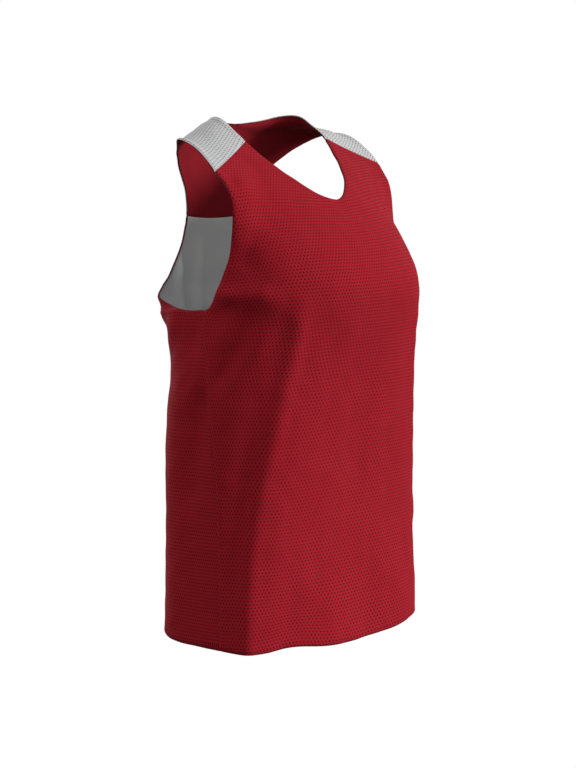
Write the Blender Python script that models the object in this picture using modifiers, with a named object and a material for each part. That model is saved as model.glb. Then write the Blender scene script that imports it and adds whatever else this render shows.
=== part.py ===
# Reversible practice pinnie: a sleeveless two-ply garment, worn open on nobody.
# Metres, +Z up, +X is the wearer's left, the front faces -Y.
#
# Half of the garment is one strip of cloth lines. Each line runs from the garment's
# middle (or from the neck edge) out to the side seam (or to the armhole edge), and the
# lines follow each other from the front hem up the chest, over the shoulder and down
# the back to the back hem. The tables give those lines in the garment's own measures:
# z down from the high point of the shoulder, y back from the middle of the hem.
import bpy
import math
import numpy as np

GARMENT = "reversible_pinnie"

WALL = 0.0010            # one ply of mesh with its turnings
PLY_GAP = 0.0005         # air between the two plies
SEAM_GAP = 0.0003        # parting between two sewn panels
COLUMNS = 10             # faces across half a panel
EDGE_SHARE = 0.97        # where the last line before a sewn or turned edge lies
ROW_STEP = 0.030         # longest face along a panel
SHOULDER_Y = 0.047       # middle of the shoulder line, where the wearer holds it
SHOULDER_Z = -0.019

RED = (0.47, 0.018, 0.030)
WHITE = (0.80, 0.80, 0.80)

# Whole rings under the arms: seam_y is where the side seam lies on the ring.
RING_COLUMNS = ("name", "z_front", "z_side", "z_back", "half_width", "front", "back",
                "round_front", "round_back", "seam_y")
RINGS = (
    ("hem", -0.6310, -0.6240, -0.6200, 0.1815, 0.1040, 0.0890, 3.0, 2.8, -0.044),
    ("hip", -0.5400, -0.5400, -0.5380, 0.1787, 0.1015, 0.0882, 2.9, 2.6, -0.041),
    ("high_hip", -0.4700, -0.4700, -0.4700, 0.1762, 0.1005, 0.0910, 2.8, 2.5, -0.038),
    ("waist", -0.4000, -0.4000, -0.4000, 0.1745, 0.1070, 0.0938, 2.7, 2.5, -0.033),
    ("ribs", -0.3400, -0.3400, -0.3400, 0.1730, 0.1135, 0.0955, 2.6, 2.42, -0.026),
    ("under_bust", -0.2900, -0.2900, -0.2900, 0.1700, 0.1215, 0.0965, 2.5, 2.35, -0.018),
    ("low_arm", -0.2580, -0.2560, -0.2670, 0.1660, 0.1290, 0.1000, 2.5, 2.65, -0.012),
    ("underarm", -0.2330, -0.2285, -0.2460, 0.1625, 0.1360, 0.1035, 2.4, 3.4, -0.010),
)

# Lines that cross the middle and end on the armhole edge, front then back.
CROSS_COLUMNS = ("name", "z_middle", "z_edge", "depth", "round", "edge_x", "edge_y")
FRONT_LINES = (
    ("arm_1", -0.2170, -0.2250, 0.1388, 2.5, 0.1620, -0.0155),
    ("arm_2", -0.2040, -0.2159, 0.1402, 2.5, 0.1610, -0.0222),
    ("arm_3", -0.1860, -0.2026, 0.1372, 2.5, 0.1590, -0.0281),
    ("arm_4", -0.1650, -0.1854, 0.1262, 2.6, 0.1570, -0.0341),
    ("arm_5", -0.1450, -0.1680, 0.1102, 2.6, 0.1540, -0.0390),
    ("arm_6", -0.1240, -0.1500, 0.0920, 2.6, 0.1525, -0.0420),
    ("neck_front", -0.1030, -0.1340, 0.0762, 2.5, 0.1515, -0.0430),
)
BACK_LINES = (
    ("back_seam", -0.1273, -0.1273, 0.1100, 2.6, 0.0659, 0.1070),
    ("racer_1", -0.1500, -0.1382, 0.1112, 2.6, 0.0687, 0.1068),
    ("racer_2", -0.1750, -0.1578, 0.1108, 2.8, 0.0753, 0.1060),
    ("racer_3", -0.1950, -0.1770, 0.1098, 3.0, 0.0881, 0.1040),
    ("racer_4", -0.2100, -0.1985, 0.1085, 3.3, 0.1073, 0.1000),
    ("corner_1", -0.2190, -0.2091, 0.1070, 3.5, 0.1245, 0.0945),
    ("corner_2", -0.2250, -0.2176, 0.1058, 3.7, 0.1405, 0.0845),
    ("corner_3", -0.2290, -0.2218, 0.1050, 3.7, 0.1480, 0.0735),
    ("corner_4", -0.2330, -0.2259, 0.1043, 3.7, 0.1545, 0.0560),
    ("corner_5", -0.2370, -0.2281, 0.1035, 3.7, 0.1590, 0.0360),
    ("corner_6", -0.2415, -0.2290, 0.1027, 3.7, 0.1615, 0.0130),
)

# Lines across a shoulder, from the neck edge to the armhole edge. bow above 1 keeps a
# line flat near the neck before it falls away, sag above 0 lets it hang between edges.
STRAP_COLUMNS = ("name", "neck_x", "neck_y", "neck_z", "arm_x", "arm_y", "arm_z", "bow", "sag")
STRAP_LINES = (
    ("neck_1", 0.0152, -0.0711, -0.1000, 0.1511, -0.0428, -0.1220, 2.2, 0.0),
    ("neck_2", 0.0254, -0.0660, -0.0950, 0.1509, -0.0423, -0.1120, 2.0, 0.0),
    ("neck_3", 0.0390, -0.0565, -0.0850, 0.1506, -0.0408, -0.1010, 1.8, 0.0),
    ("neck_4", 0.0495, -0.0451, -0.0750, 0.1508, -0.0370, -0.0900, 1.6, 0.0),
    ("neck_5", 0.0616, -0.0272, -0.0600, 0.1510, -0.0300, -0.0790, 1.4, 0.0),
    ("neck_6", 0.0690, -0.0105, -0.0465, 0.1522, -0.0235, -0.0715, 1.2, 0.0005),
    ("front_seam", 0.0745, 0.0023, -0.0347, 0.1528, -0.0193, -0.0670, 1.0, 0.001),
    ("strap_1", 0.0768, 0.0210, -0.0170, 0.1525, -0.0045, -0.0520, 1.0, 0.0015),
    ("strap_2", 0.0772, 0.0380, -0.0065, 0.1508, 0.0150, -0.0385, 1.0, 0.002),
    ("ridge", 0.0755, 0.0542, -0.0037, 0.1480, 0.0400, -0.0305, 1.0, 0.002),
    ("strap_3", 0.0700, 0.0660, -0.0060, 0.1380, 0.0560, -0.0325, 1.0, 0.001),
    ("nape_1", 0.0600, 0.0740, -0.0090, 0.1232, 0.0693, -0.0400, 1.0, 0.0),
    ("nape_2", 0.0440, 0.0800, -0.0120, 0.1088, 0.0830, -0.0500, 1.0, 0.0),
    ("nape_3", 0.0230, 0.0845, -0.0145, 0.0977, 0.0916, -0.0600, 1.2, 0.0),
    ("neck_back", 0.0000, 0.0870, -0.0155, 0.0870, 0.0990, -0.0700, 1.5, 0.0),
    ("yoke_1", 0.0000, 0.0980, -0.0470, 0.0790, 0.1025, -0.0810, 1.6, 0.0),
    ("yoke_2", 0.0000, 0.1060, -0.0840, 0.0705, 0.1045, -0.0990, 1.8, 0.0),
)

# Soft folds. around is the place between the middle (0) and the side seam (1), on the
# wearer's left (+) or right (-); push is out from the body (+) or into it (-).
FOLD_COLUMNS = ("name", "panel", "around_top", "z_top", "around_low", "z_low", "width", "push")
FOLDS = (
    ("right_drape", "front", -0.46, -0.25, -0.82, -0.63, 0.034, 0.0045),
    ("right_hollow", "front", -0.66, -0.26, -0.99, -0.58, 0.026, -0.0045),
    ("left_drape", "front", 0.47, -0.26, 0.80, -0.63, 0.034, 0.0040),
    ("left_hollow", "front", 0.68, -0.28, 0.98, -0.56, 0.026, -0.0040),
    ("middle_hollow", "front", -0.04, -0.24, 0.02, -0.45, 0.040, -0.0035),
    ("hem_1", "front", -0.55, -0.50, -0.58, -0.66, 0.024, -0.0030),
    ("hem_2", "front", -0.22, -0.53, -0.20, -0.66, 0.024, 0.0025),
    ("hem_3", "front", 0.14, -0.50, 0.16, -0.66, 0.026, -0.0030),
    ("hem_4", "front", 0.50, -0.54, 0.52, -0.66, 0.024, 0.0025),
    ("back_right", "back", -0.60, -0.27, -0.72, -0.60, 0.034, 0.0040),
    ("back_right_low", "back", -0.36, -0.42, -0.42, -0.66, 0.030, -0.0035),
    ("back_middle", "back", 0.05, -0.20, 0.02, -0.50, 0.045, -0.0040),
    ("back_left", "back", 0.58, -0.27, 0.74, -0.60, 0.034, 0.0040),
    ("back_left_low", "back", 0.34, -0.45, 0.40, -0.66, 0.030, -0.0035),
    ("back_seat", "back", -0.04, -0.55, -0.02, -0.66, 0.034, 0.0025),
    ("left_strap", "yoke", 0.30, 0.03, 0.30, -0.022, 0.050, -0.0075),
)

# Waves of the hem edge: lift is up (+) or down (-) at around, fading over width.
WAVE_COLUMNS = ("name", "panel", "around", "width", "lift")
HEM_WAVES = (
    ("right_wave", "front", -0.52, 0.20, 0.0060),
    ("middle_wave", "front", 0.03, 0.24, -0.0022),
    ("left_wave", "front", 0.62, 0.18, 0.0025),
    ("back_right_wave", "back", -0.50, 0.22, 0.0030),
    ("back_left_wave", "back", 0.40, 0.26, -0.0020),
)

HALF_PANEL = 0.20        # cloth from the middle of a panel to its side seam
FOLD_RISE = 2.0          # a fold is full once 1/2 of it is passed
FOLD_FADE_FROM = 0.8     # share of a fold's length where it starts to fade
FOLD_FADE = 2.5
EDGE_FADE_FROM = 0.80    # folds die out between here and the side seam
EDGE_FADE = 5.0
WAVE_TOP = -0.56         # the hem's waves start here and are full WAVE_HEIGHT lower
WAVE_HEIGHT = 0.06
SAMPLES = 160            # points on a line before it is divided into faces
SIDE_SAMPLES = 54        # points between a ring's widest place and the side seam
LATE_BEND = 2.5          # above 1, a line rises or falls only as it nears its end
RELAX_ROUNDS = 2


def rows_of(columns, table):
    return [dict(zip(columns, row)) for row in table]


def smoothstep(value):
    value = np.clip(value, 0.0, 1.0)
    return value * value * (3.0 - 2.0 * value)


def column_shares():
    """Places along a line where faces meet: even, then one narrow face at the edge."""
    return np.append(np.linspace(0.0, EDGE_SHARE, COLUMNS), 1.0)


def divided(line):
    """The line's points at the column places, measured along its length."""
    lengths = np.linalg.norm(np.diff(line, axis=0), axis=1)
    travelled = np.concatenate(([0.0], np.cumsum(lengths)))
    stops = column_shares() * travelled[-1]
    return np.stack([np.interp(stops, travelled, line[:, axis]) for axis in range(3)], axis=1)


def quarter(half_width, depth, roundness, turns):
    """Points of a superellipse quarter: turn 0 at the middle, turn 1 at its widest."""
    angle = turns * math.pi / 2
    x = half_width * np.sin(angle) ** (2 / roundness)
    y = depth * np.cos(angle) ** (2 / roundness)
    return x, y


def turn_at(depth, roundness, y):
    """The turn at which a superellipse quarter has come down to depth y."""
    return math.acos((y / depth) ** (roundness / 2)) / (math.pi / 2)


def ring_line(ring, facing):
    """Half of a ring, from the middle of the front (facing -1) or back (+1) to the seam."""
    seam_turn = turn_at(ring["front"], ring["round_front"], -ring["seam_y"])
    if facing < 0:
        turns = np.linspace(0.0, seam_turn, SAMPLES)
        x, y = quarter(ring["half_width"], ring["front"], ring["round_front"], turns)
        line_x, line_y = x, -y
        z_middle = ring["z_front"]
    else:
        x, y = quarter(ring["half_width"], ring["back"], ring["round_back"],
                       np.linspace(0.0, 1.0, SAMPLES))
        past_x, past_y = quarter(ring["half_width"], ring["front"], ring["round_front"],
                                 np.linspace(1.0, seam_turn, SIDE_SAMPLES)[1:])
        line_x = np.concatenate((x, past_x))
        line_y = np.concatenate((y, -past_y))
        z_middle = ring["z_back"]
    share = np.linspace(0.0, 1.0, len(line_x)) ** LATE_BEND
    line_z = z_middle + (ring["z_side"] - z_middle) * share
    return np.stack((line_x, line_y, line_z), axis=1)


def cross_line(row, facing):
    """A line from the middle to the armhole edge, cut from a superellipse."""
    reach = abs(row["edge_y"]) / row["depth"]
    half_width = row["edge_x"] / (1 - reach ** row["round"]) ** (1 / row["round"])
    turns = np.linspace(0.0, turn_at(row["depth"], row["round"], abs(row["edge_y"])), SAMPLES)
    x, y = quarter(half_width, row["depth"], row["round"], turns)
    share = np.linspace(0.0, 1.0, SAMPLES)
    share = smoothstep(share) if facing < 0 else share ** LATE_BEND
    z = row["z_middle"] + (row["z_edge"] - row["z_middle"]) * share
    return np.stack((x, facing * y, z), axis=1)


def strap_line(row):
    """A line across a shoulder, from the neck edge to the armhole edge."""
    share = np.linspace(0.0, 1.0, SAMPLES)
    x = row["neck_x"] + (row["arm_x"] - row["neck_x"]) * share
    y = row["neck_y"] + (row["arm_y"] - row["neck_y"]) * share ** row["bow"]
    fall = share ** (0.5 + 0.5 * row["bow"])
    z = row["neck_z"] + (row["arm_z"] - row["neck_z"]) * fall
    z = z - 4.0 * row["sag"] * share * (1.0 - share)
    return np.stack((x, y, z), axis=1)


def cloth_lines():
    """Names and points of the lines from the front hem over the shoulder to the back hem."""
    rings = rows_of(RING_COLUMNS, RINGS)
    lines = [("front_" + ring["name"], ring_line(ring, -1)) for ring in rings]
    lines += [(row["name"], cross_line(row, -1)) for row in rows_of(CROSS_COLUMNS, FRONT_LINES)]
    lines += [(row["name"], strap_line(row)) for row in rows_of(STRAP_COLUMNS, STRAP_LINES)]
    lines += [(row["name"], cross_line(row, 1)) for row in rows_of(CROSS_COLUMNS, BACK_LINES)]
    lines += [("back_" + ring["name"], ring_line(ring, 1)) for ring in reversed(rings)]
    return [name for name, _ in lines], np.array([divided(line) for _, line in lines])


def through(stops, values, wanted):
    """A smooth curve through values at stops, read at the wanted places."""
    spans = np.diff(stops)[:, None, None]
    slopes = np.diff(values, axis=0) / spans
    tangents = np.empty_like(values)
    tangents[0] = slopes[0]
    tangents[-1] = slopes[-1]
    tangents[1:-1] = (slopes[:-1] * spans[1:] + slopes[1:] * spans[:-1]) / (spans[1:] + spans[:-1])
    index = np.clip(np.searchsorted(stops, wanted, side="right") - 1, 0, len(stops) - 2)
    span = spans[index]
    t = (wanted - stops[index])[:, None, None] / span
    return ((2 * t**3 - 3 * t**2 + 1) * values[index] + (t**3 - 2 * t**2 + t) * span * tangents[index]
            + (3 * t**2 - 2 * t**3) * values[index + 1] + (t**3 - t**2) * span * tangents[index + 1])


def half_cloth():
    """The half garment as a grid of points, with the grid row of each named line."""
    names, lines = cloth_lines()
    lengths = np.linalg.norm(np.diff(lines, axis=0), axis=2).mean(axis=1)
    stops = np.concatenate(([0.0], np.cumsum(lengths)))
    parts = [max(1, round(length / ROW_STEP)) for length in lengths]
    ring_spans = len(RINGS) - 1
    parts[-ring_spans:] = parts[ring_spans - 1::-1]
    wanted = []
    row_at = {}
    for index, name in enumerate(names):
        row_at[name] = len(wanted)
        if index < len(parts):
            wanted += list(np.linspace(stops[index], stops[index + 1], parts[index], endpoint=False))
    wanted.append(stops[-1])
    grid = through(stops, lines, np.array(wanted))
    seam_rows = row_at["front_underarm"] + 1
    grid[-seam_rows:, -1] = grid[seam_rows - 1::-1, -1]
    grid[:row_at["neck_front"] + 1, 0, 0] = 0.0
    grid[row_at["neck_back"]:, 0, 0] = 0.0
    return grid, row_at


def relaxed(grid, row_at):
    """Evens the front and the yoke from line to line, so that none shows as a crease."""
    kept_rows = [0, row_at["neck_front"], row_at["front_seam"], row_at["neck_back"]]
    kept_rows += range(row_at["back_seam"], len(grid))
    neck_edge = slice(row_at["neck_front"], row_at["neck_back"] + 1)
    for _ in range(RELAX_ROUNDS):
        evened = grid.copy()
        evened[1:-1, :-2] = (grid[:-2, :-2] + 2 * grid[1:-1, :-2] + grid[2:, :-2]) / 4
        evened[kept_rows] = grid[kept_rows]
        evened[neck_edge, 0] = grid[neck_edge, 0]
        grid = evened
    return grid


def outward(grid, row_at):
    """Unit normals of the half grid, shared by both panels along the side seam."""
    along = np.gradient(grid, axis=0)
    across = np.gradient(grid, axis=1)
    on_middle = np.zeros(len(grid), dtype=bool)
    on_middle[:row_at["neck_front"]] = True
    on_middle[row_at["neck_back"] + 1:] = True
    across[on_middle, 0] = (1.0, 0.0, 0.0)
    normal = np.cross(across, along)
    normal /= np.linalg.norm(normal, axis=2, keepdims=True)
    seam_rows = row_at["front_underarm"] + 1
    front_side = normal[:seam_rows, -1]
    back_side = normal[::-1][:seam_rows, -1]
    shared = front_side + back_side
    shared /= np.linalg.norm(shared, axis=1, keepdims=True)
    normal[:seam_rows, -1] = shared
    normal[len(grid) - seam_rows:, -1] = shared[::-1]
    return normal


def fold_push(points, around, panel):
    """How far the folds move each point out from the body."""
    push = np.zeros(len(points))
    for fold in rows_of(FOLD_COLUMNS, FOLDS):
        if fold["panel"] != panel:
            continue
        down = (fold["z_top"] - points[:, 2]) / (fold["z_top"] - fold["z_low"])
        centre = fold["around_top"] + (fold["around_low"] - fold["around_top"]) * np.clip(down, 0, 1)
        off = (around - centre) * HALF_PANEL / fold["width"]
        fading = smoothstep((down - FOLD_FADE_FROM) * FOLD_FADE)
        reach = smoothstep(down * FOLD_RISE) * (1.0 - fading)
        push += fold["push"] * reach * np.exp(-off * off)
    return push


def hem_lift(points, around, panel):
    """How far the hem's waves lift each point."""
    lift = np.zeros(len(points))
    for wave in rows_of(WAVE_COLUMNS, HEM_WAVES):
        if wave["panel"] == panel:
            off = (around - wave["around"]) / wave["width"]
            lift += wave["lift"] * np.exp(-off * off)
    return lift * smoothstep((WAVE_TOP - points[:, 2]) / WAVE_HEIGHT)


def side_points(grid, normal, side, panel):
    """One side's points with their folds; side +1 is the wearer's left, -1 the right."""
    mirror = np.array((side, 1.0, 1.0))
    points = (grid * mirror).reshape(-1, 3)
    normals = (normal * mirror).reshape(-1, 3)
    around = side * np.tile(column_shares(), len(grid))
    edge_fade = 1.0 - smoothstep((np.abs(around) - EDGE_FADE_FROM) * EDGE_FADE)
    lift = hem_lift(points, around, panel) * edge_fade
    points = points + normals * (fold_push(points, around, panel) * edge_fade)[:, None]
    points[:, 2] += lift
    return points.reshape(grid.shape), normals.reshape(grid.shape)


def parted(points, first_row_seam, last_row_seam, seam_rows):
    """Draws a panel's sewn edges back by half the parting between panels."""
    def toward(edge, inner):
        step = inner - edge
        return edge + step / np.linalg.norm(step, axis=-1, keepdims=True) * SEAM_GAP / 2
    points = points.copy()
    if first_row_seam:
        points[0] = toward(points[0], points[1])
    if last_row_seam:
        points[-1] = toward(points[-1], points[-2])
    points[seam_rows, -1] = toward(points[seam_rows, -1], points[seam_rows, -2])
    return points


def panel_mesh(name, sides, joined_rows):
    """A panel from its two side grids, joined down the middle in joined_rows.

    Every ply is split along the same diagonals, so that plies never cut each other.
    """
    rows, columns = sides[1].shape[:2]
    vertices = []
    index = {}
    for side in (1, -1):
        for row in range(rows):
            for column in range(columns):
                if side < 0 and column == 0 and row in joined_rows:
                    index[side, row, column] = index[1, row, column]
                    continue
                index[side, row, column] = len(vertices)
                vertices.append(tuple(sides[side][row, column]))
    faces = []
    for side in (1, -1):
        for row in range(rows - 1):
            for column in range(columns - 1):
                here, outward_one = index[side, row, column], index[side, row, column + 1]
                above, across = index[side, row + 1, column], index[side, row + 1, column + 1]
                for face in ((here, outward_one, above), (outward_one, across, above)):
                    faces.append(face if side > 0 else face[::-1])
    mesh = bpy.data.meshes.new(name)
    mesh.from_pydata(vertices, [], faces)
    mesh.validate()
    return mesh


def cloth_material(name, colour):
    material = bpy.data.materials.new(name)
    material.use_nodes = True
    surface = material.node_tree.nodes["Principled BSDF"]
    surface.inputs["Base Color"].default_value = (*colour, 1.0)
    surface.inputs["Roughness"].default_value = 0.85
    surface.inputs["Metallic"].default_value = 0.0
    return material


def add_panel(name, mesh, colour, collection, parent):
    piece = bpy.data.objects.new(name, mesh)
    collection.objects.link(piece)
    piece.parent = parent
    mesh.materials.append(cloth_material(name + "_cloth", colour))
    wall = piece.modifiers.new("wall", "SOLIDIFY")
    wall.thickness = WALL
    wall.offset = -1.0
    mesh.shade_smooth()
    return piece


def panels(row_at, last_row):
    """Each panel's grid rows, its sewn edges, and the rows joined down its middle."""
    front_top = row_at["front_seam"]
    back_top = row_at["back_seam"]
    underarm = row_at["front_underarm"]
    neck_front = row_at["neck_front"]
    neck_back = row_at["neck_back"]
    back_underarm = row_at["back_underarm"]
    return {
        "front": dict(rows=(0, front_top), sewn=(False, True),
                      side_seam=range(0, underarm + 1), joined=range(0, neck_front + 1)),
        "yoke": dict(rows=(front_top, back_top), sewn=(True, True),
                     side_seam=range(0), joined=range(neck_back - front_top, back_top - front_top + 1)),
        "back": dict(rows=(back_top, last_row), sewn=(True, False),
                     side_seam=range(back_underarm - back_top, last_row - back_top + 1),
                     joined=range(0, last_row - back_top + 1)),
    }


def clear_scene():
    for thing in list(bpy.data.objects):
        bpy.data.objects.remove(thing, do_unlink=True)


def build():
    clear_scene()
    collection = bpy.data.collections.new(GARMENT)
    bpy.context.scene.collection.children.link(collection)
    shoulders = bpy.data.objects.new("shoulder_line", None)
    shoulders.location = (0.0, -SHOULDER_Y, -SHOULDER_Z)
    collection.objects.link(shoulders)

    grid, row_at = half_cloth()
    grid = relaxed(grid, row_at)
    normal = outward(grid, row_at)
    outside = {"front": RED, "back": RED, "yoke": WHITE}
    inside = {"front": WHITE, "back": WHITE, "yoke": RED}

    for panel, plan in panels(row_at, len(grid) - 1).items():
        first, last = plan["rows"]
        outer = {}
        inner = {}
        for side in (1, -1):
            points, normals = side_points(grid[first:last + 1], normal[first:last + 1], side, panel)
            points = parted(points, *plan["sewn"], list(plan["side_seam"]))
            outer[side] = points
            inner[side] = points - normals * (WALL + PLY_GAP)
        add_panel(panel, panel_mesh(panel, outer, plan["joined"]),
                  outside[panel], collection, shoulders)
        add_panel("lining_" + panel, panel_mesh("lining_" + panel, inner, plan["joined"]),
                  inside[panel], collection, shoulders)


build()
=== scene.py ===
# The finish of a reversible practice pinnie: two plies of cloth, worn form, nobody inside.
# Metres. The cloth follows the same cut as the solids, and is then given its folds, seams,
# turned edges and knit.
import math

import bpy
import numpy as np
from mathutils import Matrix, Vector


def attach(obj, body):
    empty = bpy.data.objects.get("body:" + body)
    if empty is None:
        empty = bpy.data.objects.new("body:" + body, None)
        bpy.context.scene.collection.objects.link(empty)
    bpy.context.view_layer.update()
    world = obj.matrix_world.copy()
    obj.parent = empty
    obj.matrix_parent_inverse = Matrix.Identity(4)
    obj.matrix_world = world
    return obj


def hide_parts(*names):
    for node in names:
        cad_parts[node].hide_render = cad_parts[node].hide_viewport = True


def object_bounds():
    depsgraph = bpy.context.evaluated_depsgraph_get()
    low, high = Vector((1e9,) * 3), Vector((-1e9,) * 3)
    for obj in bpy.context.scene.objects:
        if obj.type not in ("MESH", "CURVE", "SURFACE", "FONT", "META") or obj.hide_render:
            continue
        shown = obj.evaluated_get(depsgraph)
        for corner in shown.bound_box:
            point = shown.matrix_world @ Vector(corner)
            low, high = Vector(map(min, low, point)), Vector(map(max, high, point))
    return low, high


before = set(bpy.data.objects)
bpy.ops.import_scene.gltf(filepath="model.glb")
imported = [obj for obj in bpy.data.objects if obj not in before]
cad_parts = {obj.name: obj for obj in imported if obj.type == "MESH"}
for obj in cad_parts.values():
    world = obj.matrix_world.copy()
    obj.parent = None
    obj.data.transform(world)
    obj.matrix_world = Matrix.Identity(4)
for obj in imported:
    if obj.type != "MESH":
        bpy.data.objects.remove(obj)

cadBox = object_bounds()
print("frame loaded:", ", ".join(sorted(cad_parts)))

# The cut, in the garment's own measures: z down from the high point of the shoulder,
# y back from the middle of the hem. shoulder is where the wearer holds it.
garment = {
    "shoulder": (0.0, 0.047, -0.019),
    "wall": 0.0010,          # one ply
    "plyGap": 0.0005,        # air between the plies
    "spans": 10,             # even spans across half a panel, before the narrow edge one
    "edgeShare": 0.97,
    "lineStep": 0.030,       # spacing of the lines that shape the cloth
    "lateBend": 2.5,         # how late a line turns down from the middle to the side
    "seamSag": 0.0050,       # how far the back seam dips in its middle, dying out over sagReach
    "sagReach": 0.055,
    "relaxRounds": 2,
    "samples": 160,          # points that draw a line, and its stretch past the side
    "sideSamples": 54,
    "fineStep": 0.0045,      # faces of the finished cloth, up a panel and across half of it,
    "fineSpans": 46,
    "edgeSteps": (0.0, 0.0005, 0.0011, 0.0019, 0.0032, 0.0052),   # and closer beside its edges
    "edgeClear": 1.4,        # the even ones start this many widths of that strip from an edge
    "inwardFaces": 4,        # faces from an edge that tell which way the panel lies
    "flatRounds": 900,       # rounds in which a panel is laid flat, and each one's share
    "flatPull": 0.11,
}

# Rings round the body, from the hem up to under the arms. seamY is where the side seam lies.
bodyRings = {
    "columns": ("name", "zFront", "zSide", "zBack", "halfWidth", "front", "back",
                "roundFront", "roundBack", "seamY"),
    "rows": (
        ("hem", -0.6310, -0.6240, -0.6200, 0.1815, 0.1040, 0.0890, 3.0, 2.8, -0.044),
        ("hip", -0.5400, -0.5400, -0.5380, 0.1787, 0.1015, 0.0882, 2.9, 2.6, -0.041),
        ("highHip", -0.4700, -0.4700, -0.4700, 0.1762, 0.1005, 0.0910, 2.8, 2.5, -0.038),
        ("waist", -0.4000, -0.4000, -0.4000, 0.1745, 0.1070, 0.0938, 2.7, 2.5, -0.033),
        ("ribs", -0.3400, -0.3400, -0.3400, 0.1730, 0.1135, 0.0955, 2.6, 2.42, -0.026),
        ("underBust", -0.2900, -0.2900, -0.2900, 0.1700, 0.1215, 0.0965, 2.5, 2.35, -0.018),
        ("lowArm", -0.2580, -0.2560, -0.2670, 0.1660, 0.1290, 0.1000, 2.5, 2.65, -0.012),
        ("underarm", -0.2330, -0.2285, -0.2460, 0.1625, 0.1360, 0.1035, 2.4, 3.4, -0.010),
    ),
}

# Lines across the front between the armholes, from under the arms up to the neck.
chestLines = {
    "columns": ("name", "zMiddle", "zEdge", "depth", "round", "edgeX", "edgeY"),
    "rows": (
        ("arm1", -0.2170, -0.2250, 0.1388, 2.5, 0.1620, -0.0155),
        ("arm2", -0.2040, -0.2159, 0.1402, 2.5, 0.1610, -0.0222),
        ("arm3", -0.1860, -0.2026, 0.1372, 2.5, 0.1590, -0.0281),
        ("arm4", -0.1650, -0.1854, 0.1262, 2.6, 0.1570, -0.0341),
        ("arm5", -0.1450, -0.1680, 0.1102, 2.6, 0.1540, -0.0390),
        ("arm6", -0.1240, -0.1500, 0.0920, 2.6, 0.1525, -0.0420),
        ("neckFront", -0.1030, -0.1340, 0.0762, 2.5, 0.1515, -0.0430),
    ),
}

# Lines across the back between the armholes, from the yoke seam down to under the arms.
racerLines = {
    "columns": chestLines["columns"],
    "rows": (
        ("backSeam", -0.1273, -0.1273, 0.1100, 2.6, 0.0659, 0.1070),
        ("racer1", -0.1500, -0.1382, 0.1112, 2.6, 0.0687, 0.1068),
        ("racer2", -0.1750, -0.1578, 0.1108, 2.8, 0.0753, 0.1060),
        ("racer3", -0.1950, -0.1770, 0.1098, 3.0, 0.0881, 0.1040),
        ("racer4", -0.2100, -0.1985, 0.1085, 3.3, 0.1073, 0.1000),
        ("corner1", -0.2190, -0.2091, 0.1070, 3.5, 0.1245, 0.0945),
        ("corner2", -0.2250, -0.2176, 0.1058, 3.7, 0.1405, 0.0845),
        ("corner3", -0.2290, -0.2218, 0.1050, 3.7, 0.1480, 0.0735),
        ("corner4", -0.2330, -0.2259, 0.1043, 3.7, 0.1545, 0.0560),
        ("corner5", -0.2370, -0.2281, 0.1035, 3.7, 0.1590, 0.0360),
        ("corner6", -0.2415, -0.2290, 0.1027, 3.7, 0.1615, 0.0130),
    ),
}

# Lines across a strap from the neck to the armhole, from the chest over to the yoke seam.
strapLines = {
    "columns": ("name", "neckX", "neckY", "neckZ", "armX", "armY", "armZ", "bow", "sag"),
    "rows": (
        ("neck1", 0.0152, -0.0711, -0.1000, 0.1511, -0.0428, -0.1220, 2.2, 0.0),
        ("neck2", 0.0254, -0.0660, -0.0950, 0.1509, -0.0423, -0.1120, 2.0, 0.0),
        ("neck3", 0.0390, -0.0565, -0.0850, 0.1506, -0.0408, -0.1010, 1.8, 0.0),
        ("neck4", 0.0495, -0.0451, -0.0750, 0.1508, -0.0370, -0.0900, 1.6, 0.0),
        ("neck5", 0.0616, -0.0272, -0.0600, 0.1510, -0.0300, -0.0790, 1.4, 0.0),
        ("neck6", 0.0690, -0.0105, -0.0465, 0.1522, -0.0235, -0.0715, 1.2, 0.0005),
        ("frontSeam", 0.0745, 0.0023, -0.0347, 0.1528, -0.0193, -0.0670, 1.0, 0.001),
        ("strap1", 0.0768, 0.0210, -0.0170, 0.1525, -0.0045, -0.0520, 1.0, 0.0015),
        ("strap2", 0.0772, 0.0380, -0.0065, 0.1508, 0.0150, -0.0385, 1.0, 0.002),
        ("ridge", 0.0755, 0.0542, -0.0037, 0.1480, 0.0400, -0.0305, 1.0, 0.002),
        ("strap3", 0.0700, 0.0660, -0.0060, 0.1380, 0.0560, -0.0325, 1.0, 0.001),
        ("nape1", 0.0600, 0.0740, -0.0090, 0.1232, 0.0693, -0.0400, 1.0, 0.0),
        ("nape2", 0.0440, 0.0800, -0.0120, 0.1088, 0.0830, -0.0500, 1.0, 0.0),
        ("nape3", 0.0230, 0.0845, -0.0145, 0.0977, 0.0916, -0.0600, 1.2, 0.0),
        ("neckBack", 0.0000, 0.0870, -0.0155, 0.0870, 0.0990, -0.0700, 1.5, 0.0),
        ("yoke1", 0.0000, 0.0980, -0.0470, 0.0790, 0.1025, -0.0810, 1.6, 0.0),
        ("yoke2", 0.0000, 0.1060, -0.0840, 0.0705, 0.1045, -0.0990, 1.8, 0.0),
    ),
}

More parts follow.
